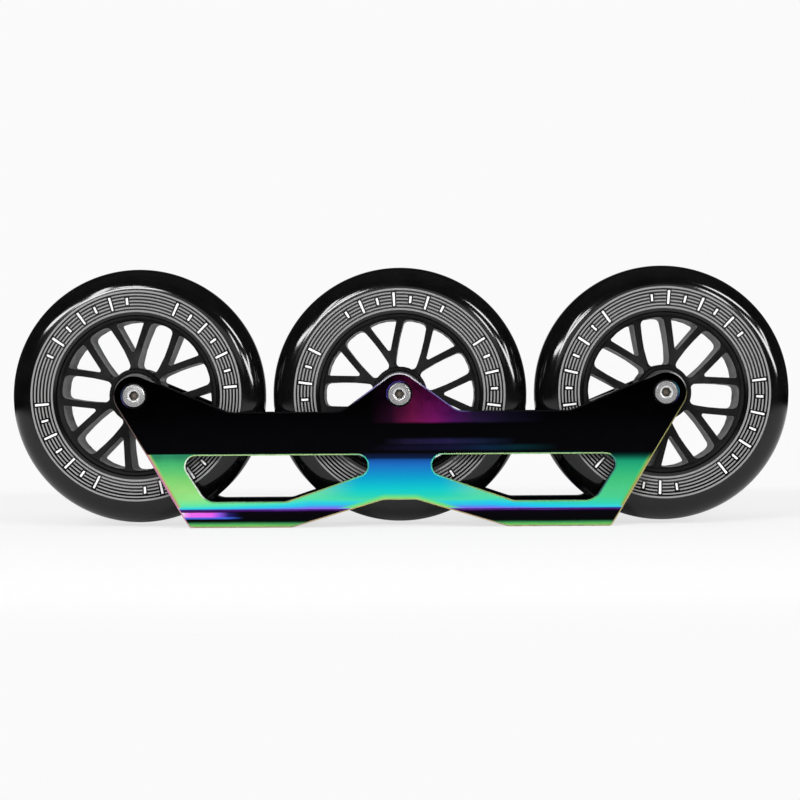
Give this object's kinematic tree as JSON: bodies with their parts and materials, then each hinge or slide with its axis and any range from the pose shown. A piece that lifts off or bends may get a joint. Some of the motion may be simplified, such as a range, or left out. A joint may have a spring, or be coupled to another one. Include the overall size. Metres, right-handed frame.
{
  "type": "inline skate frame",
  "caption": "Inline skate frame: one-piece metal channel with side windows and slotted boot mounts, carrying a row of large spoked wheels on ball bearings and bolt axles.",
  "frame": {"origin": "centre of the boot face, midway between the two boot bolts", "axes": "+X along the row of wheels to the front, +Y across to the left wall, away from the bolt heads, +Z from the boot face towards the wheels"},
  "size_m": [0.379, 0.042, 0.1255],
  "materials": {
    "frame_alloy": "polished, with an iridescent oxide film from violet black through blue to green",
    "bolt_steel": "satin",
    "spacer_alloy": "turned",
    "bearing_steel": "ground",
    "cage_nylon": "moulded",
    "shield_rubber": "matt",
    "core_nylon": "moulded, filled with glass fibre",
    "tyre_urethane": "cast and glossy, with a printed ring of fine light lines on each side"
  },
  "bodies": {
    "frame": {"frame_body": "frame_alloy", "rear_axle_bolt": "bolt_steel", "rear_bearing_spacer": "spacer_alloy", "rear_right_inner_ring": "bearing_steel", "rear_left_inner_ring": "bearing_steel", "middle_axle_bolt": "bolt_steel", "middle_bearing_spacer": "spacer_alloy", "middle_right_inner_ring": "bearing_steel", "middle_left_inner_ring": "bearing_steel", "front_axle_bolt": "bolt_steel", "front_bearing_spacer": "spacer_alloy", "front_right_inner_ring": "bearing_steel", "front_left_inner_ring": "bearing_steel"},
    "rear_wheel": {"rear_hub": "core_nylon", "rear_tyre": "tyre_urethane", "rear_right_outer_ring": "bearing_steel", "rear_right_shields": "shield_rubber", "rear_left_outer_ring": "bearing_steel", "rear_left_shields": "shield_rubber"},
    "rear_ball_sets": {"rear_right_balls": "bearing_steel", "rear_right_ball_cage": "cage_nylon", "rear_left_balls": "bearing_steel", "rear_left_ball_cage": "cage_nylon"},
    "middle_wheel": {"middle_hub": "core_nylon", "middle_tyre": "tyre_urethane", "middle_right_outer_ring": "bearing_steel", "middle_right_shields": "shield_rubber", "middle_left_outer_ring": "bearing_steel", "middle_left_shields": "shield_rubber"},
    "middle_ball_sets": {"middle_right_balls": "bearing_steel", "middle_right_ball_cage": "cage_nylon", "middle_left_balls": "bearing_steel", "middle_left_ball_cage": "cage_nylon"},
    "front_wheel": {"front_hub": "core_nylon", "front_tyre": "tyre_urethane", "front_right_outer_ring": "bearing_steel", "front_right_shields": "shield_rubber", "front_left_outer_ring": "bearing_steel", "front_left_shields": "shield_rubber"},
    "front_ball_sets": {"front_right_balls": "bearing_steel", "front_right_ball_cage": "cage_nylon", "front_left_balls": "bearing_steel", "front_left_ball_cage": "cage_nylon"}
  },
  "joints": [
    {"name": "rear_wheel_spin", "type": "hinge", "parent": "frame", "child": "rear_wheel", "pos_m": [-0.1275, 0, 0.0635], "axis": [0, 1, 0], "continuous": true},
    {"name": "rear_cage_roll", "type": "hinge", "parent": "frame", "child": "rear_ball_sets", "pos_m": [-0.1275, 0, 0.0635], "axis": [0, 1, 0], "continuous": true},
    {"name": "middle_wheel_spin", "type": "hinge", "parent": "frame", "child": "middle_wheel", "pos_m": [0, 0, 0.0635], "axis": [0, 1, 0], "continuous": true},
    {"name": "middle_cage_roll", "type": "hinge", "parent": "frame", "child": "middle_ball_sets", "pos_m": [0, 0, 0.0635], "axis": [0, 1, 0], "continuous": true},
    {"name": "front_wheel_spin", "type": "hinge", "parent": "frame", "child": "front_wheel", "pos_m": [0.1275, 0, 0.0635], "axis": [0, 1, 0], "continuous": true},
    {"name": "front_cage_roll", "type": "hinge", "parent": "frame", "child": "front_ball_sets", "pos_m": [0.1275, 0, 0.0635], "axis": [0, 1, 0], "continuous": true}
  ],
  "couplings": [
    {"joint": "rear_cage_roll", "follows": "rear_wheel_spin", "ratio": 0.6323},
    {"joint": "middle_cage_roll", "follows": "middle_wheel_spin", "ratio": 0.6323},
    {"joint": "front_cage_roll", "follows": "front_wheel_spin", "ratio": 0.6323}
  ]
}
